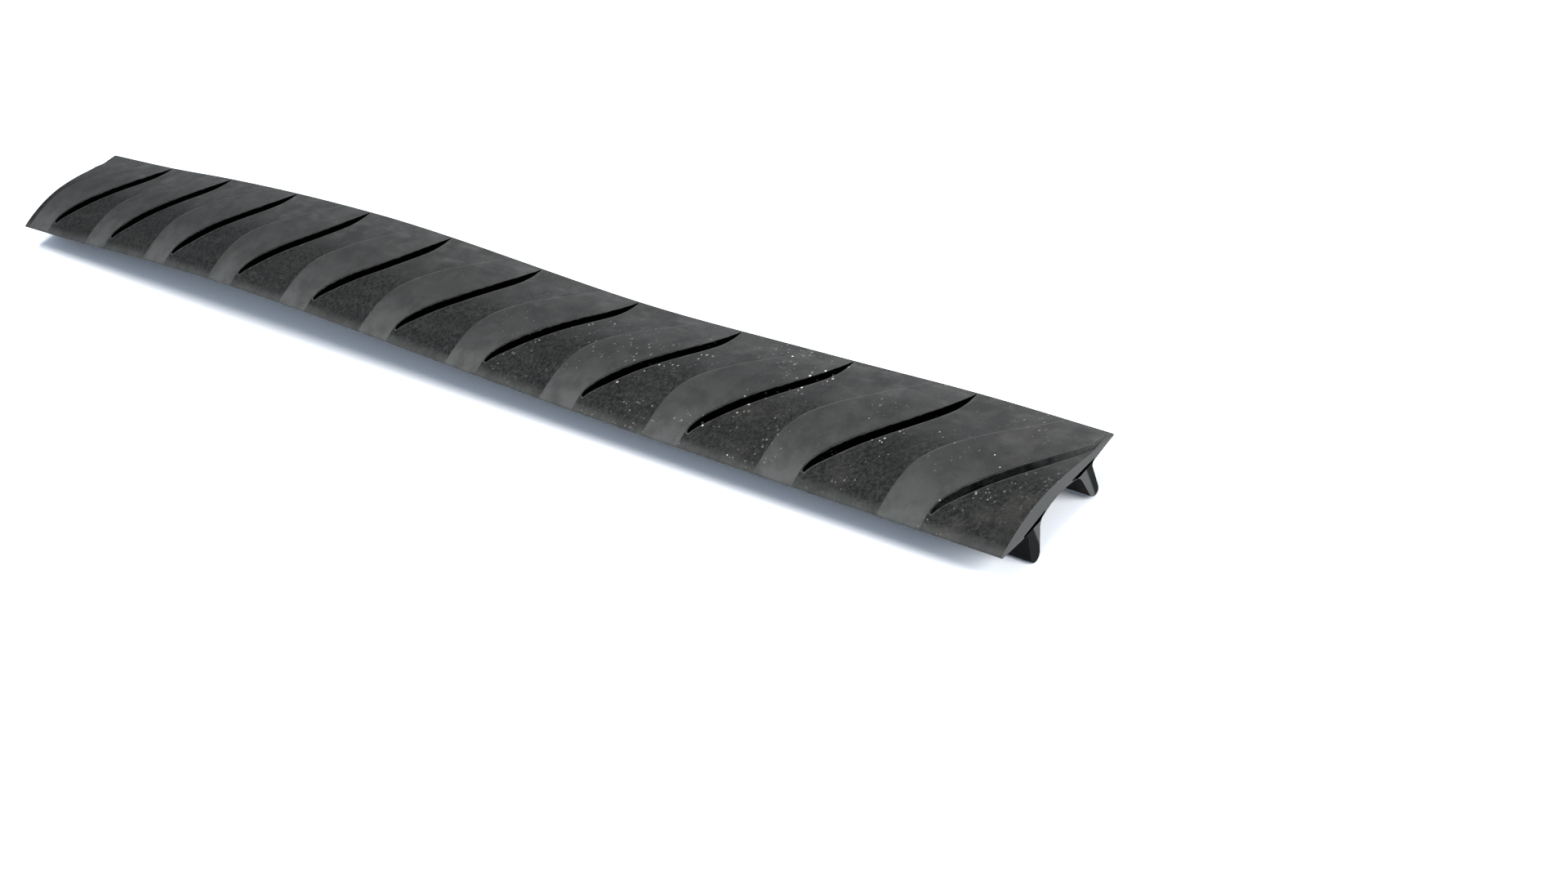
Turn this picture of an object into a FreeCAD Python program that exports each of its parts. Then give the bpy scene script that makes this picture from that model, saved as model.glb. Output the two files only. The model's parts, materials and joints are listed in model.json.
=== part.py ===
import FreeCAD, Part
import math
import os

import Sketcher
from FreeCAD import Placement, Rotation, Vector

# Rubber infill strip with a wave tread: one flexible extrusion with a crowned deck, thin sealing lips
# and two splayed legs that press into the slot of a bar.
# It lies on its legs, near end at +X and far end at -X, bowed up by a few millimetres in between.
# It is divided where it bends, into links that each hold one wave of the tread. A link is drawn with
# its near hinge over the origin, reaching back to -pitch, and is then placed along the bow.
# Frame: millimetres, +Z up, +X along the strip, origin at the bottom centre of its box.

OUTPUT_FOLDER = "parts"

# alias, value, what it is
DIMENSIONS = (
    ("strip_width", 25.0, "over both lips"),
    ("pitch", 25.0, "length of one wave of the tread, and of one link"),
    ("link_count", 11, "links in the strip"),
    ("stand", 5.2, "underside of the feet to the lip tips"),
    ("crown_rise", 2.5, "lip tips to the middle of the deck"),
    ("lip_edge", 0.3, "thickness of a lip at its tip"),
    ("web_under", 0.6, "lip tips down to the underside of the web"),
    ("web_half", 8.4, "half the width of the underside of the web"),
    ("hollow_foot", 4.2, "half the width of the hollow under the web, at its foot"),
    ("hollow_top", 2.6, "half the width of the hollow under the web, at its top"),
    ("hollow_rise", 1.1, "height of the hollow under the web"),
    ("root_centre", 5.8, "middle of a leg's root from the centre plane"),
    ("root_width", 3.0, "width of a leg at its root"),
    ("foot_centre", 6.8, "middle of a foot from the centre plane"),
    ("foot_width", 1.9, "width of a leg at its foot"),
    ("foot_round", 0.5, "rounding of a foot's corners"),
    ("hinge_height", 5.6, "neutral plane of bending above the feet"),
    ("joint_gap", 0.04, "clearance between links at the neutral plane"),
    ("bevel_slope", 0.16, "run per rise of a link's bevelled end"),
    ("pocket_depth", 1.1, "height of a wave's wall in the middle of the deck"),
    ("wave_start", 0.025, "near end to the first wall at the left edge, in pitches"),
    ("wall_sweep", 0.56, "how far a wall runs along the strip, in pitches"),
    ("ramp_sweep", 0.53, "how far a ramp's start runs along the strip, in pitches"),
    ("ramp_lead", 0.64, "start of the ramp ahead of the wall at the left edge, in pitches"),
    ("arch_rise", 3.2, "how far the strip bows up"),
    ("arch_skew", 2.0, "power that moves the top of the bow towards the far end"),
)

# radius of the deck's crown, from its width and rise
CROWN_RADIUS = "(Sheet.strip_width ^ 2 / 4 + Sheet.crown_rise ^ 2) / (2 * Sheet.crown_rise)"
# a wall and a ramp's start turn between two shares of the width from the right edge, the one early
# in its turn and the other late
WALL_TURN = (0.12, 1.0)
WALL_EASE = 0.85
RAMP_TURN = (0.2, 1.0)
RAMP_EASE = 1.35
# shares of the width between which a pocket is cut, and the number of sections that shape it
POCKET_REACH = (0.03, 0.985)
POCKET_SECTIONS = 13
# a pocket's depth at its ends as a share of its depth in the middle
EDGE_DEPTH_SHARE = 0.12
# how far cutting bodies stand clear of the strip, and how far a ramp's start stands over the deck
HEADROOM = 3.0
RAMP_LIFT = 0.03
# edges of a leg that lie lower than this and run longer than this are its foot's corners
FOOT_LEVEL = 0.01
FOOT_LENGTH = 1.0


def make_sheet(document):
    sheet = document.addObject("Spreadsheet::Sheet", "Sheet")
    for row, (alias, value, meaning) in enumerate(DIMENSIONS, start=1):
        sheet.set(f"A{row}", alias)
        sheet.set(f"B{row}", str(value))
        sheet.set(f"C{row}", meaning)
        sheet.setAlias(f"B{row}", alias)
    document.recompute()
    return sheet


def new_sketch(body, name, role):
    """Sketch on the origin plane of its body that has this role."""
    plane = next(feature for feature in body.Origin.OriginFeatures if feature.Role == role)
    sketch = body.newObject("Sketcher::SketchObject", name)
    sketch.AttachmentSupport = [(plane, "")]
    sketch.MapMode = "FlatFace"
    return sketch


def draw_outline(sketch, corners):
    """Closed outline of straight lines, whose corners are pairs of expressions of the sheet."""
    points = [Vector(*(float(sketch.evalExpression(term)) for term in corner), 0) for corner in corners]
    lines = []
    for start, end in zip(points, points[1:] + points[:1]):
        lines.append(sketch.addGeometry(Part.LineSegment(start, end), False))
    for line, following in zip(lines, lines[1:] + lines[:1]):
        sketch.addConstraint(Sketcher.Constraint("Coincident", line, 2, following, 1))
    for line, point, corner in zip(lines, points, corners):
        pin_start(sketch, line, point, corner)
    return lines


def pin_start(sketch, line, point, corner):
    """Hold the start of a line at two expressions, measured from the sketch's origin."""
    for kind, value, term in (("DistanceX", point.x, corner[0]), ("DistanceY", point.y, corner[1])):
        index = sketch.addConstraint(Sketcher.Constraint(kind, -1, 1, line, 1, value))
        sketch.setExpression(f"Constraints[{index}]", term)


def make_deck_blank(document):
    """Crowned web with a lip on each side, before its ends are bevelled and its waves are cut."""
    body = document.addObject("PartDesign::Body", "deck_blank")
    sketch = new_sketch(body, "deck_section", "YZ_Plane")
    lip = "Sheet.strip_width / 2"
    web = "Sheet.web_half"
    tip_top = "Sheet.stand"
    tip_bottom = "Sheet.stand - Sheet.lip_edge"
    underside = "Sheet.stand - Sheet.web_under"
    roof = f"{underside} + Sheet.hollow_rise"
    corners = (
        (lip, tip_top),
        (f"-{lip}", tip_top),
        (f"-{lip}", tip_bottom),
        (f"-{web}", underside),
        ("-Sheet.hollow_foot", underside),
        ("-Sheet.hollow_top", roof),
        ("Sheet.hollow_top", roof),
        ("Sheet.hollow_foot", underside),
        (web, underside),
        (lip, tip_bottom),
    )
    lines = draw_outline(sketch, corners)
    right_tip, left_tip = (sketch.getPoint(lines[0], end) for end in (2, 1))
    rise = float(sketch.evalExpression("Sheet.crown_rise"))
    crest = Vector(0, left_tip.y + rise, 0)
    chord = lines[0]
    sketch.toggleConstruction(chord)
    crown = sketch.addGeometry(Part.Arc(left_tip, crest, right_tip), False)
    starts_left = sketch.getPoint(crown, 1).x > 0
    ends = (1, 2) if starts_left else (2, 1)
    sketch.addConstraint(Sketcher.Constraint("Coincident", crown, ends[0], chord, 1))
    sketch.addConstraint(Sketcher.Constraint("Coincident", crown, ends[1], chord, 2))
    radius = sketch.addConstraint(Sketcher.Constraint("Radius", crown, crown_radius(sketch)))
    sketch.setExpression(f"Constraints[{radius}]", CROWN_RADIUS)
    pad_along_strip(body, sketch, "deck_pad")
    return body


def crown_radius(document_object):
    return float(document_object.evalExpression(CROWN_RADIUS))


def make_leg_blank(document, name, side):
    """Splayed leg under the web, with rounded foot corners. Side is 1 on the left and -1 on the right."""
    body = document.addObject("PartDesign::Body", f"{name}_blank")
    sketch = new_sketch(body, f"{name}_section", "YZ_Plane")
    root = "Sheet.stand - Sheet.web_under"
    foot = "0 * Sheet.stand"
    corners = (
        (f"{side} * (Sheet.root_centre - Sheet.root_width / 2)", root),
        (f"{side} * (Sheet.root_centre + Sheet.root_width / 2)", root),
        (f"{side} * (Sheet.foot_centre + Sheet.foot_width / 2)", foot),
        (f"{side} * (Sheet.foot_centre - Sheet.foot_width / 2)", foot),
    )
    draw_outline(sketch, corners)
    pad = pad_along_strip(body, sketch, f"{name}_pad")
    document.recompute()
    fillet = body.newObject("PartDesign::Fillet", f"{name}_foot_round")
    fillet.Base = (pad, foot_edges(pad.Shape))
    fillet.setExpression("Radius", "Sheet.foot_round")
    return body


def foot_edges(shape):
    """Names of the edges that run along the strip at the bottom of a leg."""
    names = []
    for number, edge in enumerate(shape.Edges, start=1):
        if edge.BoundBox.ZMax < FOOT_LEVEL and edge.BoundBox.XLength > FOOT_LENGTH:
            names.append(f"Edge{number}")
    return names


def pad_along_strip(body, sketch, name):
    """Pad a section back along the strip from its near hinge, over one link."""
    pad = body.newObject("PartDesign::Pad", name)
    pad.Profile = sketch
    pad.setExpression("Length", "Sheet.pitch")
    pad.Reversed = True
    return pad


def make_envelope(document, name, near_is_square, far_is_square):
    """Block with a link's side outline: a bevelled end is an arrow with its tip at the hinge."""
    body = document.addObject("PartDesign::Body", name)
    sketch = new_sketch(body, f"{name}_outline", "XZ_Plane")
    tip = "Sheet.joint_gap / 2"
    bottom = f"-{HEADROOM}"
    top = f"Sheet.stand + Sheet.crown_rise + {HEADROOM}"
    below = f"Sheet.bevel_slope * (Sheet.hinge_height + {HEADROOM})"
    above = f"Sheet.bevel_slope * ({top} - Sheet.hinge_height)"
    if near_is_square:
        near = (("0 * Sheet.pitch", bottom), ("0 * Sheet.pitch", top))
    else:
        near = (
            (f"-({tip}) - {below}", bottom),
            (f"-({tip})", "Sheet.hinge_height"),
            (f"-({tip}) - {above}", top),
        )
    if far_is_square:
        far = (("-Sheet.pitch", top), ("-Sheet.pitch", bottom))
    else:
        far = (
            (f"-Sheet.pitch + {tip} + {above}", top),
            (f"-Sheet.pitch + {tip}", "Sheet.hinge_height"),
            (f"-Sheet.pitch + {tip} + {below}", bottom),
        )
    draw_outline(sketch, near + far)
    pad = body.newObject("PartDesign::Pad", f"{name}_pad")
    pad.Profile = sketch
    pad.setExpression("Length", f"Sheet.strip_width + {HEADROOM}")
    pad.Midplane = True
    return body


def smooth_turn(share, turn, ease):
    """1 before a turn, 0 after it, and an S-curve between, early with an ease under 1 and late over it."""
    start, end = turn
    progress = min(1.0, max(0.0, (share - start) / (end - start))) ** ease
    return 1 - progress * progress * (3 - 2 * progress)


def pocket_section(sheet, share):
    """Outline of one pocket in a plane across the strip, at a share of its width from the right edge."""
    across = sheet.strip_width * (share - 0.5)
    radius = crown_radius(sheet)
    deck = sheet.stand + sheet.crown_rise - radius + math.sqrt(radius ** 2 - across ** 2)
    fullness = EDGE_DEPTH_SHARE + (1 - EDGE_DEPTH_SHARE) * math.sin(math.pi * share)
    left_wall = -sheet.pitch * sheet.wave_start
    wall = left_wall - sheet.pitch * sheet.wall_sweep * smooth_turn(share, WALL_TURN, WALL_EASE)
    ramp_run = sheet.ramp_lead - sheet.ramp_sweep * smooth_turn(share, RAMP_TURN, RAMP_EASE)
    ramp = left_wall + sheet.pitch * ramp_run
    top = sheet.stand + sheet.crown_rise + HEADROOM
    corners = (
        Vector(wall, across, deck - sheet.pocket_depth * fullness),
        Vector(ramp, across, deck + RAMP_LIFT),
        Vector(ramp, across, top),
        Vector(wall, across, top),
    )
    return Part.makePolygon(corners + corners[:1])


def make_wave_cutters(document, sheet):
    """Two neighbouring pockets of the tread, each with one steep wall and a floor that ramps up to the deck.

    A pocket is swept over the width by an S-curve whose wall and ramp turn at different places, which no
    pad or pocket makes, so it is a loft through sections.
    """
    first, last = POCKET_REACH
    shares = [first + (last - first) * step / (POCKET_SECTIONS - 1) for step in range(POCKET_SECTIONS)]
    shape = Part.makeLoft([pocket_section(sheet, share) for share in shares], True, False)
    cutters = []
    for number, shift in enumerate((0, -sheet.pitch), start=1):
        cutter = document.addObject("Part::Feature", f"wave_cutter_{number}")
        cutter.Shape = shape.copy()
        cutter.Placement = Placement(Vector(shift, 0, 0), Rotation())
        cutters.append(cutter)
    waves = document.addObject("Part::MultiFuse", "wave_cutters")
    waves.Shapes = cutters
    return waves


def bow_height(sheet, hinge):
    """Height of the bow over a numbered hinge, from 0 at the near end to link_count at the far end."""
    share = (hinge / sheet.link_count) ** sheet.arch_skew
    return sheet.arch_rise * math.sin(math.pi * share) ** 2


def link_placements(sheet):
    """Placement of each link along the bow, from the near end."""
    count = int(sheet.link_count)
    slopes = []
    for hinge in range(count):
        climb = bow_height(sheet, hinge + 1) - bow_height(sheet, hinge)
        slopes.append(math.asin(climb / sheet.pitch))
    length = sum(sheet.pitch * math.cos(slope) for slope in slopes)
    top_over_hinge = sheet.stand + sheet.crown_rise - sheet.hinge_height
    overhang = top_over_hinge * math.sin(-slopes[-1])
    place = (length + overhang) / 2
    centre = Vector(0, 0, sheet.hinge_height)
    placements = []
    for hinge, slope in enumerate(slopes):
        tilt = Rotation(Vector(0, 1, 0), math.degrees(slope))
        move = Vector(place, 0, bow_height(sheet, hinge))
        placements.append(Placement(move, tilt, centre))
        place -= sheet.pitch * math.cos(slope)
    return placements


def boolean(document, kind, name, base, tool):
    result = document.addObject(f"Part::{kind}", name)
    result.Base = base
    result.Tool = tool
    return result


def make_links(document, sheet):
    """Deck and two legs of every link, each one a sub-part in its place."""
    waves = make_wave_cutters(document, sheet)
    deck_blank = make_deck_blank(document)
    leg_blanks = {
        "left_leg": make_leg_blank(document, "left_leg", 1),
        "right_leg": make_leg_blank(document, "right_leg", -1),
    }
    envelopes = {
        "near": make_envelope(document, "near_end_envelope", True, False),
        "inner": make_envelope(document, "inner_envelope", False, False),
        "far": make_envelope(document, "far_end_envelope", False, True),
    }
    plain_decks = {}
    for place, envelope in envelopes.items():
        plain_decks[place] = boolean(document, "Common", f"plain_deck_{place}", deck_blank, envelope)
    placements = link_placements(sheet)
    sub_parts = []
    for number, placement in enumerate(placements, start=1):
        place = "near" if number == 1 else "far" if number == len(placements) else "inner"
        deck = boolean(document, "Cut", f"tread_deck_{number:02d}", plain_decks[place], waves)
        pieces = [deck]
        for name, blank in leg_blanks.items():
            pieces.append(boolean(document, "Common", f"{name}_{number:02d}", blank, envelopes[place]))
        for piece in pieces:
            piece.Label = piece.Name
            piece.Placement = placement
        sub_parts.extend(pieces)
    return sub_parts


def check_document(document, sub_parts):
    for item in document.Objects:
        if "Invalid" in item.State or "Error" in item.State:
            raise RuntimeError(f"{item.Label} failed: {item.State}")
    for piece in sub_parts:
        shape = piece.Shape
        if shape.isNull() or not shape.isValid() or len(shape.Solids) != 1:
            raise RuntimeError(f"{piece.Label} is not one valid solid")


def export(sub_parts):
    os.makedirs(OUTPUT_FOLDER, exist_ok=True)
    for piece in sub_parts:
        piece.Shape.exportStep(os.path.join(OUTPUT_FOLDER, f"{piece.Label}.step"))


def main():
    document = FreeCAD.newDocument("infill_strip")
    sheet = make_sheet(document)
    sub_parts = make_links(document, sheet)
    document.recompute()
    check_document(document, sub_parts)
    export(sub_parts)
    print(f"{len(sub_parts)} sub-parts")


main()
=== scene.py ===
import json
import math

import bpy
import numpy as np
from mathutils import Matrix, Vector


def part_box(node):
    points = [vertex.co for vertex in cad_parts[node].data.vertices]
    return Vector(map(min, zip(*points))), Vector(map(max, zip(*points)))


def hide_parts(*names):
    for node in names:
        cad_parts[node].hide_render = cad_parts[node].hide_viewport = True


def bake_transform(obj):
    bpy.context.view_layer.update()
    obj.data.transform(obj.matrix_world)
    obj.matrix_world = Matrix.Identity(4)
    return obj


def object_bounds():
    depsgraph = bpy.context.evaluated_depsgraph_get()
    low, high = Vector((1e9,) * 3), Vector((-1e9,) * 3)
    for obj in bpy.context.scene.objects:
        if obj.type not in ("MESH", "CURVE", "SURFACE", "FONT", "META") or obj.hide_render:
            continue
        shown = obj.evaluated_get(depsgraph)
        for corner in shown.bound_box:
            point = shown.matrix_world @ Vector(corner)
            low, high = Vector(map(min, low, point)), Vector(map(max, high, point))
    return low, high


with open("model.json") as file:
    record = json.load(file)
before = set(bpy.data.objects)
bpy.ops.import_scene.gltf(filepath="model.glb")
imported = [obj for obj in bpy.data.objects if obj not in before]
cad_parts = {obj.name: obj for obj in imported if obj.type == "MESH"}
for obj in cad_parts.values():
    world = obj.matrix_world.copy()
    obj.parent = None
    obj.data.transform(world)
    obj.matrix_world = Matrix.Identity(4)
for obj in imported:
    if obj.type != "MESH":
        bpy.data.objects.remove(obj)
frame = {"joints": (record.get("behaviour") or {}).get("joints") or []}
CAD_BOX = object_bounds()

# Looks of a wave-tread rubber infill strip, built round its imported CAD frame.
# Places along the strip are in pitches from the near end, at +X; link number n reaches from n - 1 to n.
# Places across it are shares of its width, from 0 at the right edge (-Y) to 1 at the left edge (+Y).
# Heights in a section are measured from the lip tips. Lengths are in metres.

MM = 0.001
JOINTS = frame["joints"]
LINKS = len(JOINTS) + 1
NEAR_X = CAD_BOX[1].x
WIDTH = CAD_BOX[1].y - CAD_BOX[0].y
HINGES = [Vector(joint["pos_m"]) for joint in JOINTS]
PITCH = (HINGES[1] - HINGES[0]).length
HINGE_HEIGHT = HINGES[0].z

# the section, from the lip tips
WEB_UNDER = 0.6 * MM
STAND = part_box("tread_deck_01")[0].z + WEB_UNDER
CROWN_RISE = 2.5 * MM
LIP_EDGE = 0.3 * MM
WEB_HALF = 8.4 * MM
ROOT_CENTRE = 5.8 * MM
ROOT_HALF = 1.25 * MM
FOOT_CENTRE = 6.8 * MM
FOOT_HALF = 0.95 * MM
# at the near end the left foot is bent in and the right foot out, over this many pitches
END_FOOT_SHIFTS = {1: -0.8 * MM, -1: 0.7 * MM}
END_SHIFT_REACH = 1.2
FOOT_BOTTOM = -STAND
OUTER_FILLET = 0.8 * MM
INNER_FILLET = 1.5 * MM
HOLLOW_HALF = 4.6 * MM
HOLLOW_RISE = 0.9 * MM
# a leg's root reaches this far up into the web, and its inner fillet's top this far
ROOT_SINK = 0.25 * MM
FILLET_SINK = 0.05 * MM

# the waves: a wall and a ramp's start turn between two shares of the width, the one early in its turn
# and the other late
WAVE_PHASE = 0.025
WALL_SWEEP = 0.56
WALL_TURN = (0.12, 1.0)
WALL_EASE = 0.85
RAMP_SWEEP = 0.53
RAMP_LEAD = 0.64
RAMP_TURN = (0.2, 1.0)
RAMP_EASE = 1.35
# the raised left lip leans the waves, from this share of the width on
LIP_LEAN = 0.055
LIP_GRIP = 0.45
POCKET_DEPTH = 1.15 * MM
# shares of the width where a pocket starts and stops, and the widths over which it deepens there
POCKET_REACH = (0.03, 0.995)
POCKET_EASE = (0.34, 0.3)
POCKET_FALL_POWER = 0.8
# shares of the width where the painted black shade at the foot of a wall starts and stops
SHADE_REACH = (0.105, 0.985)
# a gutter runs along the foot of each wall, with a fine ridge on its other side
GUTTER_RUN = 1.05 * MM
GUTTER_DEPTH = 0.42 * MM
# the gutter's run grows with the pocket's fullness past a lag, and is never less than this share
GUTTER_GROWTH = 1.6
GUTTER_LAG = 0.35
GUTTER_LEAST = 0.02
RIDGE_RISE = 0.07 * MM
RIDGE_SPREAD = 0.12 * MM
RAMP_SOFTNESS = 0.05
# the first wave's painted shade at its wall foot is paler, and fades out between two shares of the width
FIRST_WAVE_SHADE = 0.74
FIRST_WAVE_FADE = (0.52, 0.8)
# it is narrower too: its least share of a foot's run, and how much that grows with its shade
FIRST_WAVE_LEAST = 0.3
FIRST_WAVE_GROWTH = 0.45
# the first wall stays this far inside the near end, in pitches
FIRST_WALL_LIMIT = 0.02

# rows of the mesh near a wall, in mm: those before its foot, those up its face, each with its share of the
# pocket's depth, and those on the deck behind it
WALL_FOOT_ROWS = (-1.75, -1.45, -1.3, -1.2, -1.12, -1.05, -0.97, -0.88, -0.75, -0.55, -0.35, -0.15, 0.0)
WALL_RISE_ROWS = ((0.03, 0.93), (0.06, 0.7), (0.09, 0.4), (0.12, 0.12), (0.15, 0.03), (0.21, 0.0))
BAND_ROWS = (0.32, 0.5, 0.8, 1.2)
# rows before a foot draw together where the strip starts less than this before it
FOOT_ROOM = 1.6 * MM
# shade is painted black up a wall's face to here, and that painted shade is sharpened so that no row of the
# mesh shows grey
WALL_TOP = 0.12 * MM
WALL_SHADE_GAIN = 9.0
# a length that is past the edge of every mask
FAR_OFF = 9 * MM
# numbers of rows in the ramp before a wall, in the deck after it, and in a span's last stretch
ROWS_BEFORE = 44
ROWS_AFTER = 36
ROWS_TAIL = 26

# each span reaches this far into the next link, past its hinge
SEAM_REACH = 0.75
TINY = 1e-6


def smooth(value):
    """S-curve from 0 to 1, flat outside them."""
    value = np.clip(value, 0.0, 1.0)
    return value * value * (3 - 2 * value)


def turn_down(share, turn, ease=1.0):
    """1 before a turn, 0 after it, and an S-curve between, early with an ease under 1 and late over it."""
    progress = np.clip((share - turn[0]) / (turn[1] - turn[0]), 0.0, 1.0)
    return 1 - smooth(progress ** ease)


def lip_lean(share):
    """How far the raised left lip draws the waves towards the near end, in pitches."""
    return LIP_LEAN * smooth((share - LIP_GRIP) / (1 - LIP_GRIP))


def wall_place(share):
    """Where the wall of wave 0 stands, in pitches."""
    return WAVE_PHASE - lip_lean(share) + WALL_SWEEP * turn_down(share, WALL_TURN, WALL_EASE)


def ramp_place(share):
    """Where the floor of wave 0 leaves the deck, in pitches."""
    return WAVE_PHASE - lip_lean(share) - RAMP_LEAD + RAMP_SWEEP * turn_down(share, RAMP_TURN, RAMP_EASE)


def pocket_fullness(share):
    """Share of its full depth that a pocket has over the width."""
    rise = np.clip((share - POCKET_REACH[0]) / POCKET_EASE[0], 0.0, 1.0)
    fall = np.clip((POCKET_REACH[1] - share) / POCKET_EASE[1], 0.0, 1.0)
    return np.sin(math.pi / 2 * rise) * np.sin(math.pi / 2 * fall) ** POCKET_FALL_POWER


def crown(share):
    """Height of the smooth deck over the lip tips."""
    across = WIDTH * (share - 0.5)
    radius = ((WIDTH / 2) ** 2 + CROWN_RISE ** 2) / (2 * CROWN_RISE)
    return CROWN_RISE - radius + np.sqrt(radius ** 2 - across ** 2)


class Bow:
    """The smooth line that the strip's neutral plane follows from the near end to the far end."""

    STEPS_PER_PITCH = 40
    SLOPE_STEP = 1e-4

    def __init__(self):
        self.heights = np.array([HINGE_HEIGHT] + [hinge.z for hinge in HINGES] + [HINGE_HEIGHT])
        rises = np.diff(self.heights)
        self.slopes = np.concatenate([[rises[0]], (rises[1:] + rises[:-1]) / 2, [rises[-1]]])
        self.fine = np.linspace(0, LINKS, LINKS * self.STEPS_PER_PITCH + 1)
        angles = self.angle(self.fine)
        steps = (np.cos(angles[1:]) + np.cos(angles[:-1])) / 2 * np.diff(self.fine) * PITCH
        self.run = NEAR_X - np.concatenate([[0.0], np.cumsum(steps)])

    def height(self, place):
        inside = np.clip(place, 0.0, LINKS)
        link = np.minimum(np.floor(inside).astype(int), LINKS - 1)
        t = inside - link
        near = (1 + 2 * t) * (1 - t) ** 2 * self.heights[link] + t * (1 - t) ** 2 * self.slopes[link]
        return near + t * t * (3 - 2 * t) * self.heights[link + 1] + t * t * (t - 1) * self.slopes[link + 1]

    def angle(self, place):
        step = self.SLOPE_STEP
        middle = np.clip(place, step, LINKS - step)
        climb = self.height(middle + step) - self.height(middle - step)
        return np.arcsin(climb / (2 * step * PITCH))

    def points(self, place, share, up):
        """World points of places along, shares across and heights from the lip tips."""
        angle = self.angle(place)
        above = up + STAND - HINGE_HEIGHT + edge_ripple(place, share)
        along = np.interp(place, self.fine, self.run)
        x = along + above * np.sin(angle)
        z = self.height(place) + above * np.cos(angle)
        y = WIDTH * (share - 0.5)
        return np.stack([x, y, z], axis=-1)


# slow waves of the soft lips: middle and spread in pitches, and rise
LEFT_LIP_WAVES = (
    (6.0, 7.5, 0.9 * MM),
    (0.9, 0.9, 0.7 * MM),
    (3.8, 1.1, -0.85 * MM),
    (6.4, 1.3, 0.9 * MM),
)
RIGHT_LIP_WAVES = ((5.2, 1.3, 0.3 * MM), (8.4, 1.0, -0.3 * MM))


def edge_ripple(place, share):
    """How far the slow waves of the lips lift each point."""
    total = np.zeros_like(place * share)
    for waves, reach in ((LEFT_LIP_WAVES, share), (RIGHT_LIP_WAVES, 1 - share)):
        grip = smooth((reach - LIP_GRIP) / (1 - LIP_GRIP))
        for middle, spread, rise in waves:
            total = total + rise * grip * np.exp(-((place - middle) / spread) ** 2)
    return total


BOW = Bow()


def rows_between(start, stop, count):
    """Evenly spaced shares from start up to but not including stop, as columns over the section."""
    return start + (stop - start) * (np.arange(count) / count)[:, None]


def span_rows(start, stop, share, wave):
    """Rows of places along a stretch with one wall in it, and the share of its depth that each row has.

    The share is nan where the row lies on the ramp or on the deck, whose depth the ramp gives.
    """
    foot = wall_of(np.array([wave]), share)[0]
    room = np.minimum(1.0, (foot - start) * PITCH / FOOT_ROOM)
    near = foot + WALL_FOOT_ROWS[0] * MM / PITCH * room
    before = rows_between(start, near, ROWS_BEFORE)
    toes = np.array([foot + offset * MM / PITCH * room for offset in WALL_FOOT_ROWS])
    rise = np.array([foot + offset * MM / PITCH for offset, _ in WALL_RISE_ROWS])
    band = np.array([foot + offset * MM / PITCH for offset in BAND_ROWS])
    after = rows_between(band[-1], stop, ROWS_AFTER + 1)[1:]
    places = np.concatenate([before, toes, rise, band, after])
    depth = np.full(len(places), np.nan)
    first = len(before) + len(toes)
    depth[first:first + len(rise)] = [share_of_depth for _, share_of_depth in WALL_RISE_ROWS]
    waves = np.full(len(places), wave)
    waves[first + len(rise):] = wave + 1
    return places, depth, waves


def strip_rows(start, stop, share):
    """Every row of one span, from start to stop: its places, its shares of depth and its wave's number."""
    stretches = []
    place = start
    while place < stop - TINY:
        wave = math.floor(place + 1 - SEAM_REACH + TINY)
        end = min(wave + SEAM_REACH, stop)
        has_wall = wave + WAVE_PHASE + WALL_SWEEP < end
        if has_wall:
            stretches.append(span_rows(place, end, share, wave))
        else:
            places = rows_between(np.full_like(share, place), end, ROWS_TAIL)
            stretches.append((places, np.full(ROWS_TAIL, np.nan), np.full(ROWS_TAIL, wave)))
        place = end
    last = np.full((1, len(share)), stop)
    last_wave = stretches[-1][2][-1]
    stretches.append((last, np.array([np.nan]), np.array([last_wave])))
    return tuple(np.concatenate([stretch[part] for stretch in stretches]) for part in range(3))


def wall_of(waves, share):
    """Where the walls of numbered waves stand, in pitches."""
    return np.maximum(wall_place(share)[None, :] + waves[:, None], FIRST_WALL_LIMIT)


def wave_shade(waves, share):
    """How strong the painted black shade at each wall's foot is over the width, from 0 to 1."""
    lessened = FIRST_WAVE_SHADE * turn_down(share, FIRST_WAVE_FADE)
    return np.where(waves[:, None] == 0, lessened[None, :], 1.0)


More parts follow.
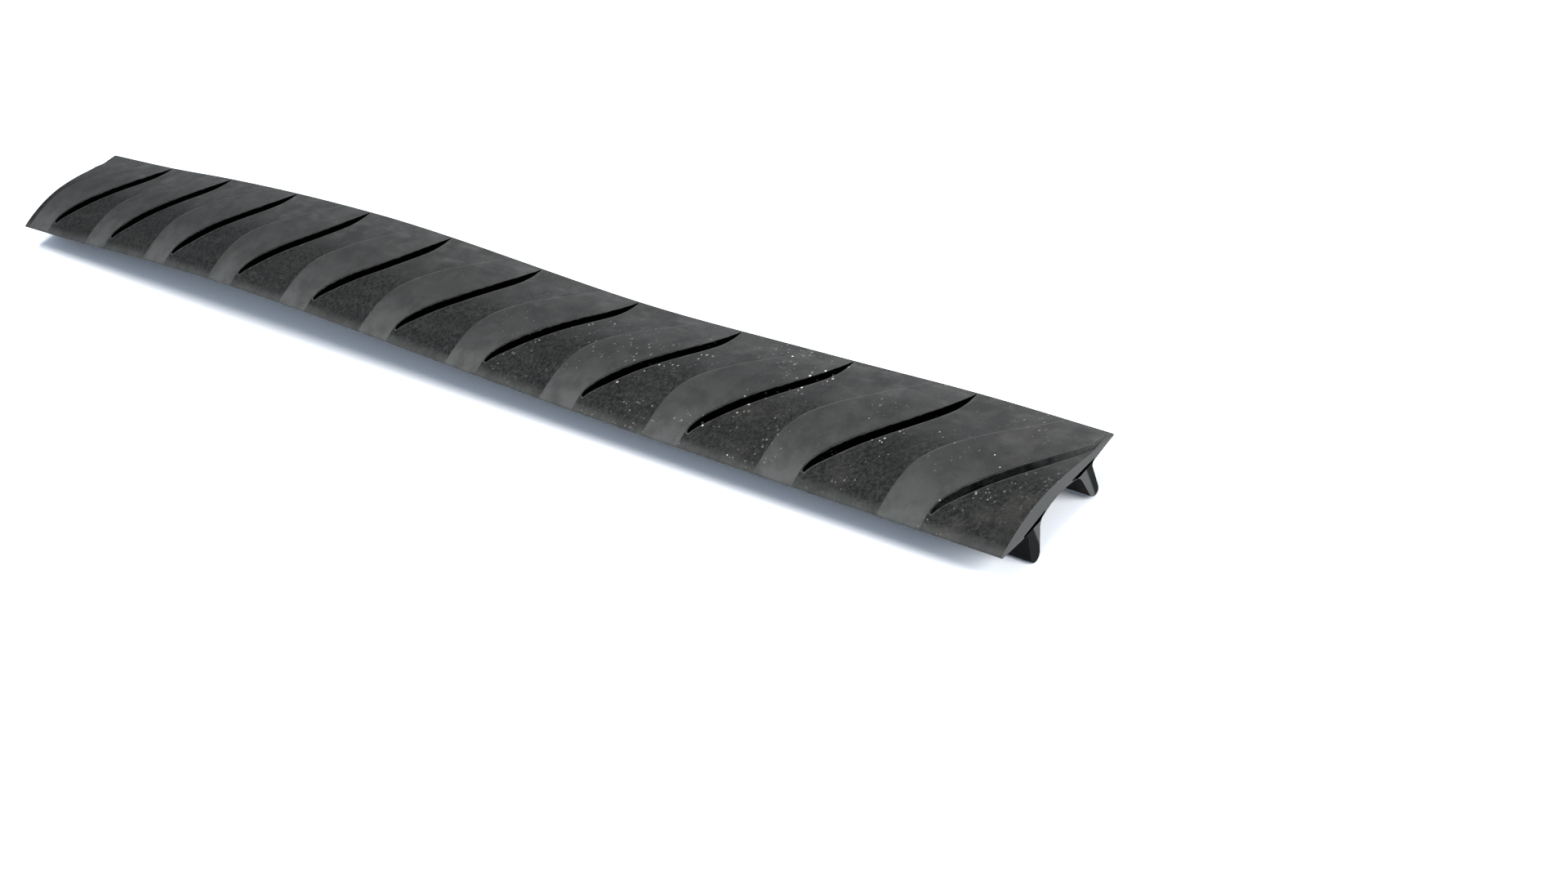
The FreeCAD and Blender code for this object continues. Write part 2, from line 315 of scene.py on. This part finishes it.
def tread_relief(places, depth, waves, share):
    """Depth of each point of the top under the deck, and the values that its material reads.

    past_ramp is the length past the start of a ramp, the next value the length into the gutter under a wall
    and up the wall's face, where shade is painted black, and wall_shade how strong that painted shade is.
    """
    foot = wall_of(waves, share)
    shade = wave_shade(waves, share)
    fixed = ~np.isnan(depth)[:, None]
    start = ramp_place(share)[None, :] + waves[:, None]
    progress = (places - start) / (foot - start)
    past = np.clip(progress, 0.0, 1.0)
    ramp = np.sqrt(past ** 2 + RAMP_SOFTNESS ** 2) - RAMP_SOFTNESS
    fullness = np.broadcast_to(pocket_fullness(share), places.shape)
    full = fullness * POCKET_DEPTH
    before = (foot - places) * PITCH
    lessened = np.where(shade < 1, FIRST_WAVE_LEAST + FIRST_WAVE_GROWTH * shade, 1.0)
    reach = GUTTER_RUN * np.clip(fullness * GUTTER_GROWTH - GUTTER_LAG, GUTTER_LEAST, 1.0) * lessened
    gutter = GUTTER_DEPTH * fullness ** 2 * (1 - smooth(before / reach))
    ridge = RIDGE_RISE * fullness * np.exp(-((before - reach - RIDGE_SPREAD) / RIDGE_SPREAD) ** 2)
    sunk = full * ramp + (gutter - ridge) * (progress > 0)
    bottom = full + GUTTER_DEPTH * fullness ** 2
    sunk = np.where(fixed, bottom * np.nan_to_num(depth)[:, None], sunk)
    past_ramp = np.where(fixed, FAR_OFF, (places - start) * PITCH)
    # the painted black shade reaches up each wall's face to WALL_TOP and back into the gutter before it
    to_wall_top = (WALL_TOP - (places - foot) * PITCH) * WALL_SHADE_GAIN
    in_wall_shade = np.where(fixed, to_wall_top, reach - before)
    shade_start, shade_stop = SHADE_REACH
    open_width = np.minimum(share - shade_start, shade_stop - share) * WIDTH
    in_wall_shade = np.minimum(in_wall_shade, open_width[None, :])
    return sunk, {"past_ramp": past_ramp, "in_wall_shade": in_wall_shade, "wall_shade": shade}


TOP_COLUMNS = 112
UNDER_COLUMNS = 36
# share of the top's columns that crowd towards the lips
EDGE_CROWDING = 0.2
# shares of the width between a lip's tip and the ends of the top and of the underside
TOP_INSET = 0.0018
UNDER_INSET = 0.004
# shares and heights of the left tip's points
TIP_SHARES = np.array([0.9994, 1.0, 0.9994])
TIP_HEIGHTS = np.array([-0.06, -0.15, -0.25]) * MM


def underside(share):
    """Height of the web's underside, hollow between the legs."""
    across = np.clip(WIDTH * (share - 0.5) / HOLLOW_HALF, -1.0, 1.0)
    return HOLLOW_RISE * np.cos(math.pi / 2 * across) - WEB_UNDER


def deck_section():
    """Shares and heights of the closed deck outline, top first, and how many points the top has."""
    spread = np.linspace(0, math.pi, TOP_COLUMNS + 1)
    even = np.linspace(0, 1, TOP_COLUMNS + 1)
    top = (1 - EDGE_CROWDING) * even + EDGE_CROWDING * (1 - np.cos(spread)) / 2
    top = TOP_INSET + top * (1 - 2 * TOP_INSET)
    web = WEB_HALF / WIDTH
    lip = np.linspace(1 - UNDER_INSET, 0.5 + web, UNDER_COLUMNS // 3)
    lip_up = -LIP_EDGE - (WEB_UNDER - LIP_EDGE) * (lip[0] - lip) / (lip[0] - lip[-1])
    middle = np.linspace(0.5 + web, 0.5 - web, UNDER_COLUMNS // 3 + 2)[1:-1]
    share = np.concatenate([top, TIP_SHARES, lip, middle, 1 - lip[::-1], 1 - TIP_SHARES[::-1]])
    under = [TIP_HEIGHTS, lip_up, underside(middle), lip_up[::-1], TIP_HEIGHTS[::-1]]
    up = np.concatenate([crown(top)] + under)
    return share, up, len(top)


FILLET_STEPS = 6
FOOT_STEPS = 10
SIDE_POINTS = 7


def fillet_points(side_at, top, radius):
    """Quarter circle from under the web down to the side of a leg, with the middle of the leg at 0."""
    outward = math.copysign(1.0, side_at)
    turns = [math.pi / 2 * step / FILLET_STEPS for step in range(FILLET_STEPS + 1)]
    return [
        (side_at + outward * radius * (1 - math.sin(turn)), top - radius * (1 - math.cos(turn)))
        for turn in turns
    ]


def leg_section():
    """Offsets from a leg's middle and heights of its closed outline, from its outer fillet round the foot."""
    outer = fillet_points(ROOT_HALF, -WEB_UNDER, OUTER_FILLET)
    inner_top = float(underside(0.5 + (ROOT_CENTRE - ROOT_HALF - INNER_FILLET) / WIDTH)) + FILLET_SINK
    inner = fillet_points(-ROOT_HALF, inner_top, INNER_FILLET)[::-1]
    turns = [math.pi * step / FOOT_STEPS for step in range(FOOT_STEPS + 1)]
    foot = [(FOOT_HALF * math.cos(turn), FOOT_BOTTOM + FOOT_HALF * (1 - math.sin(turn))) for turn in turns]
    outline = [(outer[0][0], -WEB_UNDER + ROOT_SINK)] + outer
    outline += side_points(outer[-1], foot[0], SIDE_POINTS) + foot
    outline += side_points(foot[-1], inner[0], SIDE_POINTS) + inner
    outline += [(inner[-1][0], inner_top + ROOT_SINK)]
    return np.array([offset for offset, _ in outline]), np.array([up for _, up in outline])


def leg_across(places, offset, up, side):
    """Shares of the width of a leg's points, whose foot is splayed and shifts near the end."""
    shift = END_FOOT_SHIFTS[side] * np.exp(-(places / END_SHIFT_REACH) ** 2)
    lean = (FOOT_CENTRE + shift - ROOT_CENTRE) / (STAND - WEB_UNDER)
    centre = ROOT_CENTRE + lean * np.maximum(0.0, -WEB_UNDER - up)
    return 0.5 + side * (centre + offset) / WIDTH


def side_points(start, end, count):
    """Points strictly between two others."""
    steps = [step / (count + 1) for step in range(1, count + 1)]
    return [(start[0] + (end[0] - start[0]) * t, start[1] + (end[1] - start[1]) * t) for t in steps]


def closed_mesh(name, points, rest, values, cut):
    """Tube of rows by columns of points with both ends capped, and the attributes its material reads."""
    rows, columns = points.shape[:2]
    index = np.arange(rows * columns).reshape(rows, columns)
    following = np.roll(index, -1, axis=1)
    sides = np.stack([index[:-1], following[:-1], following[1:], index[1:]], axis=-1).reshape(-1, 4)
    faces = sides.tolist() + [index[0].tolist()[::-1], index[-1].tolist()]
    mesh = bpy.data.meshes.new(name)
    mesh.from_pydata(points.reshape(-1, 3).tolist(), [], faces)
    mesh.validate()
    smooth_faces = np.ones(len(mesh.polygons), bool)
    smooth_faces[-2:] = False
    mesh.polygons.foreach_set("use_smooth", smooth_faces)
    if volume_of(mesh) < 0:
        mesh.flip_normals()
    mark_rims(mesh, columns)
    cut_face = np.zeros(len(mesh.polygons))
    cut_face[-2:] = cut
    store(mesh, "rest_place", "FLOAT_VECTOR", rest.reshape(-1))
    store(mesh, "cut_face", "FLOAT", cut_face, "FACE")
    for attribute, numbers in values.items():
        store(mesh, attribute, "FLOAT", numbers.reshape(-1))
    mesh.update()
    piece = bpy.data.objects.new(name, mesh)
    bpy.context.scene.collection.objects.link(piece)
    return piece


def volume_of(mesh):
    """Volume inside a closed mesh, negative where its faces point inwards."""
    mesh.calc_loop_triangles()
    points = np.array([vertex.co for vertex in mesh.vertices])
    corners = np.empty(len(mesh.loop_triangles) * 3, int)
    mesh.loop_triangles.foreach_get("vertices", corners)
    a, b, c = (points[corners.reshape(-1, 3)[:, corner]] for corner in range(3))
    return float(np.sum(a * np.cross(b, c)) / 6)


def mark_rims(mesh, columns):
    """Keep the edges round both ends sharp."""
    ends = np.empty(len(mesh.edges) * 2, int)
    mesh.edges.foreach_get("vertices", ends)
    ends = ends.reshape(-1, 2)
    last = len(mesh.vertices) - columns
    mesh.edges.foreach_set("use_edge_sharp", (ends < columns).all(axis=1) | (ends >= last).all(axis=1))


def store(mesh, name, kind, values, domain="POINT"):
    """Keep values on a mesh as an attribute that its material reads."""
    attribute = mesh.attributes.new(name, kind, domain)
    attribute.data.foreach_set("vector" if kind == "FLOAT_VECTOR" else "value", values.astype(np.float32))


def span_ends(number):
    """Where a span starts and stops: span n reaches across hinge n."""
    start = 0.0 if number == 1 else number - 1 + SEAM_REACH
    stop = float(LINKS) if number == LINKS - 1 else number + SEAM_REACH
    return start, stop


def cut_ends(number):
    """Whether the first and last ends of a span are cut faces of the strip."""
    return number == 1, number == LINKS - 1


def make_deck_span(number, material):
    """Deck from one seam to the next, with its wave."""
    start, stop = span_ends(number)
    share, up, top_count = deck_section()
    places, depth, waves = strip_rows(start, stop, share)
    heights = np.broadcast_to(up, places.shape).copy()
    sunk, values = tread_relief(places, depth, waves, share)
    heights[:, :top_count] -= sunk[:, :top_count]
    for mask in ("past_ramp", "in_wall_shade"):
        values[mask][:, top_count:] = -FAR_OFF
    across = np.broadcast_to(share, places.shape)
    points = BOW.points(places, across, heights)
    rest = np.stack([places * PITCH, across * WIDTH, heights], axis=-1)
    piece = closed_mesh(f"tread_deck_span_{number:02d}", points, rest, values, cut_ends(number))
    finish_span(piece, number, "tread_deck", material)


LEG_ROWS_PER_PITCH = 24


def make_leg_span(number, name, side, material):
    """Leg from one seam to the next. Side is 1 on the left and -1 on the right."""
    start, stop = span_ends(number)
    offset, up = leg_section()
    rows = round((stop - start) * LEG_ROWS_PER_PITCH) + 1
    along = np.linspace(start, stop, rows)
    places = np.broadcast_to(along[:, None], (rows, len(up)))
    across = leg_across(places, offset, up, side)
    heights = np.broadcast_to(up, places.shape)
    points = BOW.points(places, across, heights)
    rest = np.stack([places * PITCH, across * WIDTH, heights], axis=-1)
    piece = closed_mesh(f"{name}_span_{number:02d}", points, rest, {}, cut_ends(number))
    finish_span(piece, number, name, material)


def finish_span(piece, number, node, material):
    """Give a span its material, and hide the nodes that it replaces."""
    piece.data.materials.append(material)
    links = [number, LINKS] if number == LINKS - 1 else [number]
    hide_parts(*(f"{node}_{link:02d}" for link in links))
    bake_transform(piece)


# ---------------------------------------------------------------- materials


def grey(tone):
    """Colour of the rubber at a tone, a little warm of grey."""
    return (tone, tone * 1.01, tone * 0.97)


class Nodes:
    """Short names for the shader nodes that the materials are made of."""

    def __init__(self, name):
        self.material = bpy.data.materials.new(name)
        self.material.use_nodes = True
        self.tree = self.material.node_tree
        self.shader = self.tree.nodes["Principled BSDF"]

    def link(self, source, target):
        if isinstance(source, (int, float)):
            target.default_value = source
        elif isinstance(source, tuple):
            target.default_value = (*source, 1.0) if len(target.default_value) == 4 else source
        else:
            self.tree.links.new(source, target)

    def attribute(self, name, output):
        node = self.tree.nodes.new("ShaderNodeAttribute")
        node.attribute_name = name
        return node.outputs[output]

    def math(self, operation, first, second=0.0, third=0.0, clamp=False):
        node = self.tree.nodes.new("ShaderNodeMath")
        node.operation = operation
        node.use_clamp = clamp
        for value, socket in zip((first, second, third), node.inputs):
            self.link(value, socket)
        return node.outputs[0]

    def fade(self, value, low, high):
        """0 below low, 1 above high, smooth between."""
        node = self.tree.nodes.new("ShaderNodeMapRange")
        node.interpolation_type = "SMOOTHSTEP"
        for source, name in ((value, "Value"), (low, "From Min"), (high, "From Max")):
            self.link(source, node.inputs[name])
        return node.outputs["Result"]

    def hump(self, value, low, middle, high):
        """0 outside low and high, 1 at the middle."""
        fall = self.math("SUBTRACT", 1.0, self.fade(value, middle, high))
        return self.math("MULTIPLY", self.fade(value, low, middle), fall)

    def mix(self, share, first, second):
        node = self.tree.nodes.new("ShaderNodeMix")
        node.data_type = "RGBA"
        colours = [socket for socket in node.inputs if socket.type == "RGBA"]
        self.link(share, node.inputs["Factor"])
        self.link(first, colours[0])
        self.link(second, colours[1])
        return next(socket for socket in node.outputs if socket.type == "RGBA")

    def tones(self, share, stops):
        """Grey that follows a list of places and tones."""
        node = self.tree.nodes.new("ShaderNodeValToRGB")
        ramp = node.color_ramp
        ramp.interpolation = "B_SPLINE"
        while len(ramp.elements) < len(stops):
            ramp.elements.new(0.5)
        for element, (position, tone) in zip(ramp.elements, stops):
            element.position = position
            element.color = (*grey(tone), 1.0)
        self.link(share, node.inputs["Fac"])
        return node.outputs["Color"]

    def noise(self, place, scale, detail=3.0, roughness=0.5):
        node = self.tree.nodes.new("ShaderNodeTexNoise")
        self.link(place, node.inputs["Vector"])
        for name, value in (("Scale", scale), ("Detail", detail), ("Roughness", roughness)):
            node.inputs[name].default_value = value
        return node.outputs["Fac"]

    def cells(self, place, scale):
        """Distance to the middle of the nearest cell, and a random colour for each cell."""
        node = self.tree.nodes.new("ShaderNodeTexVoronoi")
        self.link(place, node.inputs["Vector"])
        node.inputs["Scale"].default_value = scale
        return node.outputs["Distance"], node.outputs["Color"]

    def parts(self, vector):
        node = self.tree.nodes.new("ShaderNodeSeparateXYZ")
        self.link(vector, node.inputs[0])
        return node.outputs

    def stretched(self, vector, factors):
        node = self.tree.nodes.new("ShaderNodeVectorMath")
        node.operation = "MULTIPLY"
        self.link(vector, node.inputs[0])
        node.inputs[1].default_value = factors
        return node.outputs[0]

    def bump(self, height, distance, strength=1.0, normal=None):
        node = self.tree.nodes.new("ShaderNodeBump")
        node.inputs["Strength"].default_value = strength
        node.inputs["Distance"].default_value = distance
        self.link(height, node.inputs["Height"])
        if normal is not None:
            self.link(normal, node.inputs["Normal"])
        return node.outputs["Normal"]


# Tones are shares of white. Scales of noises and cells are in cells per metre.
# share of the width, and the tone of the smooth rubber there
BAND_TONES = ((0.0, 0.066), (0.12, 0.050), (0.3, 0.030), (0.55, 0.0225), (0.8, 0.033), (1.0, 0.041))
POCKET_TONE = 0.0145
# the grit of a pocket's floor runs between these multiples of its tone
POCKET_GRIT = (0.35, 1.45)
CLOUD_TONE = 0.01
SMEAR_TONE = 0.085
MOTTLE_TONE = 0.08
# near-black painted shade in the gutters under the walls and up their faces
PAINTED_SHADE_TONE = 0.0002
# painted highlights on the edges of the ramps' starts and of the gutters' rims
EDGE_HIGHLIGHT_TONE = 0.075
# cut faces painted paler than the rubber, as painted light
CUT_LIT_TONE = 0.048
# the legs are painted darker than the deck's rubber, as painted shade under the deck
LEG_SHADE_TONE = 0.0045
HAZE_TAN = (0.050, 0.047, 0.041)
DUST_PALE = (0.72, 0.68, 0.6)

# distances from the centre plane between which a leg's cut face turns from the paler painted light to the
# legs' darker painted shade tone
LIT_CUT_REACH = (5.7 * MM, 6.1 * MM)
# a pocket is dark past this length of its ramp, up to these shares of the width, and less at its borders
RAMP_EDGE = 0.3 * MM
POCKET_FADE = (0.40, 0.70)
BORDER_SHARE = 0.085
BORDER_DARKNESS = 0.38
LEAST_DARKNESS = 0.1
# the gutter's border wavers by this much and is this soft
GUTTER_WAVER = 0.12 * MM
GUTTER_SOFTNESS = 0.1 * MM
# half the width of the painted highlight along a ramp's start, and where the painted highlight on the rim
# beside a gutter is palest
CREST_HALF = 0.28 * MM
RIM = (-0.3 * MM, -0.12 * MM, 0.0)
# lengths along the strip between which the haze fades out, and where the dust starts, is thickest and ends
HAZE_FADE = (0.1 * PITCH, 4.0 * PITCH)
DUST_SPREAD = (-1.2 * PITCH, 2.0 * PITCH, 5.6 * PITCH)
# dust gathers before the walls, between these lengths from a gutter
DUST_GATHERS = (-6.0 * MM, -0.3 * MM)
# cells per metre, largest radius in cells, and the chance below which a cell stays clean
SMALL_SPECKS = (1500.0, 0.33, 0.42)
LARGE_SPECKS = (420.0, 0.115, 0.8)
DUST_STRENGTH = 0.6


def specks(nodes, place, scale, radius, least):
    """Round specks: one in each cell whose random number is over least."""
    distance, colour = nodes.cells(place, scale)
    chance = nodes.parts(colour)[0]
    size = nodes.math("MULTIPLY", nodes.parts(colour)[1], radius)
    dot = nodes.math("LESS_THAN", distance, size)
    return nodes.math("MULTIPLY", dot, nodes.math("GREATER_THAN", chance, least))


def gutter_length(nodes, place):
    """Signed length into the gutter under a wall, with a border that wavers."""
    waver = nodes.noise(place, 900.0, 2.0)
    waver = nodes.math("MULTIPLY_ADD", waver, 2 * GUTTER_WAVER, -GUTTER_WAVER)
    return nodes.math("ADD", nodes.attribute("in_wall_shade", "Fac"), waver)


def painted_shade_mask(nodes, place, gutter):
    """1 in the gutters and up the walls, where shade is painted black, and patchy where that painted shade is
    weaker.
    """
    patchy = nodes.math("MULTIPLY_ADD", nodes.noise(place, 620.0, 3.0), 5.0, -1.5)
    shade = nodes.math("POWER", nodes.attribute("wall_shade", "Fac"), nodes.math("MAXIMUM", patchy, 0.3))
    return nodes.math("MULTIPLY", nodes.fade(gutter, 0.0, GUTTER_SOFTNESS), shade)


def pocket_mask(nodes, past, share):
    """1 on the dark floor of a pocket, which pales towards the left edge and along the right border."""
    in_pocket = nodes.fade(past, 0.0, RAMP_EDGE)
    off_border = nodes.fade(share, 0.0, BORDER_SHARE)
    off_border = nodes.math("MULTIPLY_ADD", off_border, 1 - BORDER_DARKNESS, BORDER_DARKNESS)
    right_half = nodes.math("SUBTRACT", 1.0, nodes.fade(share, *POCKET_FADE))
    dark = nodes.math("MULTIPLY", nodes.math("MULTIPLY", in_pocket, off_border), right_half)
    return nodes.math("MAXIMUM", dark, nodes.math("MULTIPLY", in_pocket, LEAST_DARKNESS))


def rubber_colour(nodes, place, share, dark):
    """Smooth bands and gritty pockets."""
    grit = nodes.fade(nodes.noise(place, 1500.0, 5.0, 0.75), 0.4, 0.62)
    darkest, palest = (grey(POCKET_TONE * multiple) for multiple in POCKET_GRIT)
    return nodes.mix(dark, nodes.tones(share, BAND_TONES), nodes.mix(grit, darkest, palest))


def add_wear(nodes, place, along, share, colour):
    """Smears on the left half, tan haze near the handled end, dark clouds and a fine mottle."""
    smear = nodes.fade(nodes.noise(nodes.stretched(place, (0.5, 1.6, 1.0)), 330.0, 4.0, 0.65), 0.45, 0.75)
    left_half = nodes.math("MULTIPLY_ADD", nodes.fade(share, 0.5, 0.95), 0.3, 0.08)
    colour = nodes.mix(nodes.math("MULTIPLY", smear, left_half), colour, grey(SMEAR_TONE))
    blotch = nodes.fade(nodes.noise(place, 160.0, 4.0), 0.42, 0.72)
    near_end = nodes.math("SUBTRACT", 1.0, nodes.fade(along, *HAZE_FADE))
    near_end = nodes.math("MULTIPLY_ADD", near_end, 0.34, 0.06)
    colour = nodes.mix(nodes.math("MULTIPLY", blotch, near_end), colour, HAZE_TAN)
    cloud = nodes.fade(nodes.noise(place, 240.0, 5.0, 0.6), 0.38, 0.68)
    colour = nodes.mix(nodes.math("MULTIPLY", cloud, 0.42), colour, grey(CLOUD_TONE))
    grain = nodes.fade(nodes.noise(place, 5200.0, 2.0), 0.35, 0.75)
    return nodes.mix(nodes.math("MULTIPLY", grain, 0.12), colour, grey(MOTTLE_TONE))


def add_edge_highlights(nodes, place, past, share, gutter, colour):
    """Painted highlights, here and there broken, along the ramps' starts and on the rims beside the gutters.
    """
    broken = nodes.math("MULTIPLY_ADD", nodes.noise(place, 700.0, 2.0), 0.9, 0.05)
    crest = nodes.hump(past, -CREST_HALF, 0.0, CREST_HALF)
    crest = nodes.math("MULTIPLY", crest, nodes.fade(share, 0.3, 0.5))
    edge = nodes.math("MAXIMUM", nodes.math("MULTIPLY", crest, 0.8), nodes.hump(gutter, *RIM))
    return nodes.mix(nodes.math("MULTIPLY", edge, broken), colour, grey(EDGE_HIGHLIGHT_TONE))


def dust_mask(nodes, place, along, gutter):
    """Specks of dust, thickest near the handled end, in patches and against the walls."""
    patch = nodes.fade(nodes.noise(place, 110.0, 2.0), 0.45, 0.6)
    dusty = nodes.hump(along, *DUST_SPREAD)
    gather = nodes.math("MULTIPLY_ADD", nodes.fade(gutter, *DUST_GATHERS), 0.75, 0.25)
    weight = nodes.math("MULTIPLY", nodes.math("MULTIPLY", dusty, patch), gather)
    small = nodes.math("MULTIPLY", specks(nodes, place, *SMALL_SPECKS), weight)
    large = specks(nodes, nodes.stretched(place, (1.0, 1.3, 1.0)), *LARGE_SPECKS)
    large = nodes.math("MULTIPLY", large, dusty)
    return nodes.math("MAXIMUM", small, large, clamp=True)


def tread_material():
    """Matte black rubber: smooth paler waves, rough dark pockets, painted black shade at the wall feet,
    painted highlights on edges, paler painted light on the cut faces, wear and dust.
    """
    nodes = Nodes("tread_rubber")
    place = nodes.attribute("rest_place", "Vector")
    along, across, _ = nodes.parts(place)
    share = nodes.math("DIVIDE", across, WIDTH)
    past = nodes.attribute("past_ramp", "Fac")
    gutter = gutter_length(nodes, place)
    in_wall_shade = painted_shade_mask(nodes, place, gutter)
    dark = pocket_mask(nodes, past, share)
    dust = dust_mask(nodes, place, along, gutter)

    colour = rubber_colour(nodes, place, share, dark)
    colour = add_wear(nodes, place, along, share, colour)
    # painted highlights along the edges
    colour = add_edge_highlights(nodes, place, past, share, gutter, colour)
    # the cut faces are painted paler, as painted light
    colour = nodes.mix(nodes.attribute("cut_face", "Fac"), colour, grey(CUT_LIT_TONE))
    colour = nodes.mix(nodes.math("MULTIPLY", dust, DUST_STRENGTH), colour, DUST_PALE)
    clean = nodes.math("MULTIPLY_ADD", dust, -0.12, 1.0)
    # shade painted black in the gutters and up the walls, a little less where dust lies; the painted shade
    # also takes the sheen away
    colour = nodes.mix(nodes.math("MULTIPLY", in_wall_shade, clean), colour, grey(PAINTED_SHADE_TONE))
    nodes.link(colour, nodes.shader.inputs["Base Color"])

    nodes.link(nodes.math("MULTIPLY_ADD", dark, 0.1, 0.8), nodes.shader.inputs["Roughness"])
    gloss = nodes.math("MULTIPLY_ADD", dark, -0.04, 0.07)
    gloss = nodes.math("MULTIPLY", gloss, nodes.math("SUBTRACT", 1.0, in_wall_shade))
    nodes.link(gloss, nodes.shader.inputs["Specular IOR Level"])
    tooth = nodes.math("MULTIPLY_ADD", dark, 0.8, 0.2)
    tooth = nodes.math("MULTIPLY", nodes.noise(place, 1700.0, 3.0, 0.6), tooth)
    normal = nodes.bump(tooth, 0.12 * MM)
    normal = nodes.bump(dust, 0.08 * MM, 1.0, normal)
    nodes.link(normal, nodes.shader.inputs["Normal"])
    return nodes.material


def leg_material():
    """Plain extruded rubber with die lines along the strip, painted darker than the deck as shade under it;
    its cut face paler as painted light.
    """
    nodes = Nodes("leg_rubber")
    place = nodes.attribute("rest_place", "Vector")
    lines = nodes.noise(nodes.stretched(place, (0.02, 1.0, 1.0)), 4200.0, 3.0)
    blotch = nodes.noise(place, 210.0, 4.0)
    lessened = nodes.math("MULTIPLY", nodes.fade(blotch, 0.45, 0.75), 0.15)
    colour = nodes.mix(lessened, grey(LEG_SHADE_TONE), HAZE_TAN)
    across = nodes.math("SUBTRACT", nodes.parts(place)[1], WIDTH / 2)
    inner = nodes.math("SUBTRACT", 1.0, nodes.fade(nodes.math("ABSOLUTE", across), *LIT_CUT_REACH))
    cut = nodes.math("MULTIPLY", nodes.attribute("cut_face", "Fac"), inner)
    # the inner part of a leg's cut face is painted paler, as painted light
    colour = nodes.mix(cut, colour, grey(CUT_LIT_TONE))
    nodes.link(colour, nodes.shader.inputs["Base Color"])
    nodes.link(nodes.math("MULTIPLY_ADD", lines, 0.2, 0.6), nodes.shader.inputs["Roughness"])
    nodes.shader.inputs["Specular IOR Level"].default_value = 0.05
    nodes.link(nodes.bump(lines, 0.05 * MM), nodes.shader.inputs["Normal"])
    return nodes.material


def floor_material():
    """Plain pale table."""
    nodes = Nodes("white_table")
    nodes.shader.inputs["Base Color"].default_value = (0.93, 0.94, 0.95, 1.0)
    nodes.shader.inputs["Roughness"].default_value = 0.7
    nodes.shader.inputs["Specular IOR Level"].default_value = 0.2
    return nodes.material


# ---------------------------------------------------------------- stage, lights and camera


def make_floor():
    bpy.ops.mesh.primitive_plane_add(size=6.0, location=(0, 0, 0))
    floor = bpy.context.object
    floor.name = "floor"
    floor.data.materials.append(floor_material())


def aim(item, target):
    direction = Vector(target) - item.location
    item.rotation_mode = "QUATERNION"
    item.rotation_quaternion = direction.to_track_quat("-Z", "Y")


LIT_POINT = (0.05, 0.0, 0.0)


def make_area_light(name, location, size, power, colour):
    data = bpy.data.lights.new(name, "AREA")
    data.shape = "DISK"
    data.size = size
    data.energy = power
    data.color = colour
    light = bpy.data.objects.new(name, data)
    bpy.context.scene.collection.objects.link(light)
    light.location = location
    aim(light, LIT_POINT)


def make_lights():
    """Soft pale room, a key light from above and a weaker light on the near end."""
    world = bpy.data.worlds.new("soft_white")
    world.use_nodes = True
    background = world.node_tree.nodes["Background"]
    background.inputs["Color"].default_value = (0.70, 0.82, 1.0, 1.0)
    background.inputs["Strength"].default_value = 0.82
    bpy.context.scene.world = world
    make_area_light("key", (0.0, 0.12, 1.1), 0.75, 16.5, (1.0, 0.97, 0.92))
    make_area_light("end_light", (1.0, 0.1, 0.45), 0.5, 17.0, (0.97, 0.98, 1.0))


CAMERA_LENS = 55.5
CAMERA_AZIMUTH = math.radians(58.1)
CAMERA_ELEVATION = math.radians(34.44)
CAMERA_ROLL = math.radians(24.43)
CAMERA_DISTANCE = 14.0 * WIDTH
AIM_FROM_NEAR_END = 1.934 * PITCH
AIM_ACROSS = -0.209 * WIDTH


def make_camera():
    """Camera that looks along the strip from its near right corner, turned about its line of sight."""
    data = bpy.data.cameras.new("camera")
    data.lens = CAMERA_LENS
    data.sensor_width = 36.0
    data.clip_start = 0.01
    data.clip_end = 20.0
    camera = bpy.data.objects.new("camera", data)
    bpy.context.scene.collection.objects.link(camera)
    level = math.cos(CAMERA_ELEVATION)
    back = Vector((
        math.sin(CAMERA_AZIMUTH) * level,
        -math.cos(CAMERA_AZIMUTH) * level,
        math.sin(CAMERA_ELEVATION),
    ))
    target = Vector((NEAR_X - AIM_FROM_NEAR_END, AIM_ACROSS, STAND))
    upright = (-back).to_track_quat("-Z", "Y").to_matrix().to_4x4()
    roll = Matrix.Rotation(-CAMERA_ROLL, 4, "Z")
    camera.matrix_world = Matrix.Translation(target + back * CAMERA_DISTANCE) @ upright @ roll
    bpy.context.scene.camera = camera


def main():
    scene = bpy.context.scene
    scene.view_settings.view_transform = "Standard"
    tread, leg = tread_material(), leg_material()
    for number in range(1, LINKS):
        make_deck_span(number, tread)
        make_leg_span(number, "left_leg", 1, leg)
        make_leg_span(number, "right_leg", -1, leg)
    make_floor()
    make_lights()
    make_camera()


main()
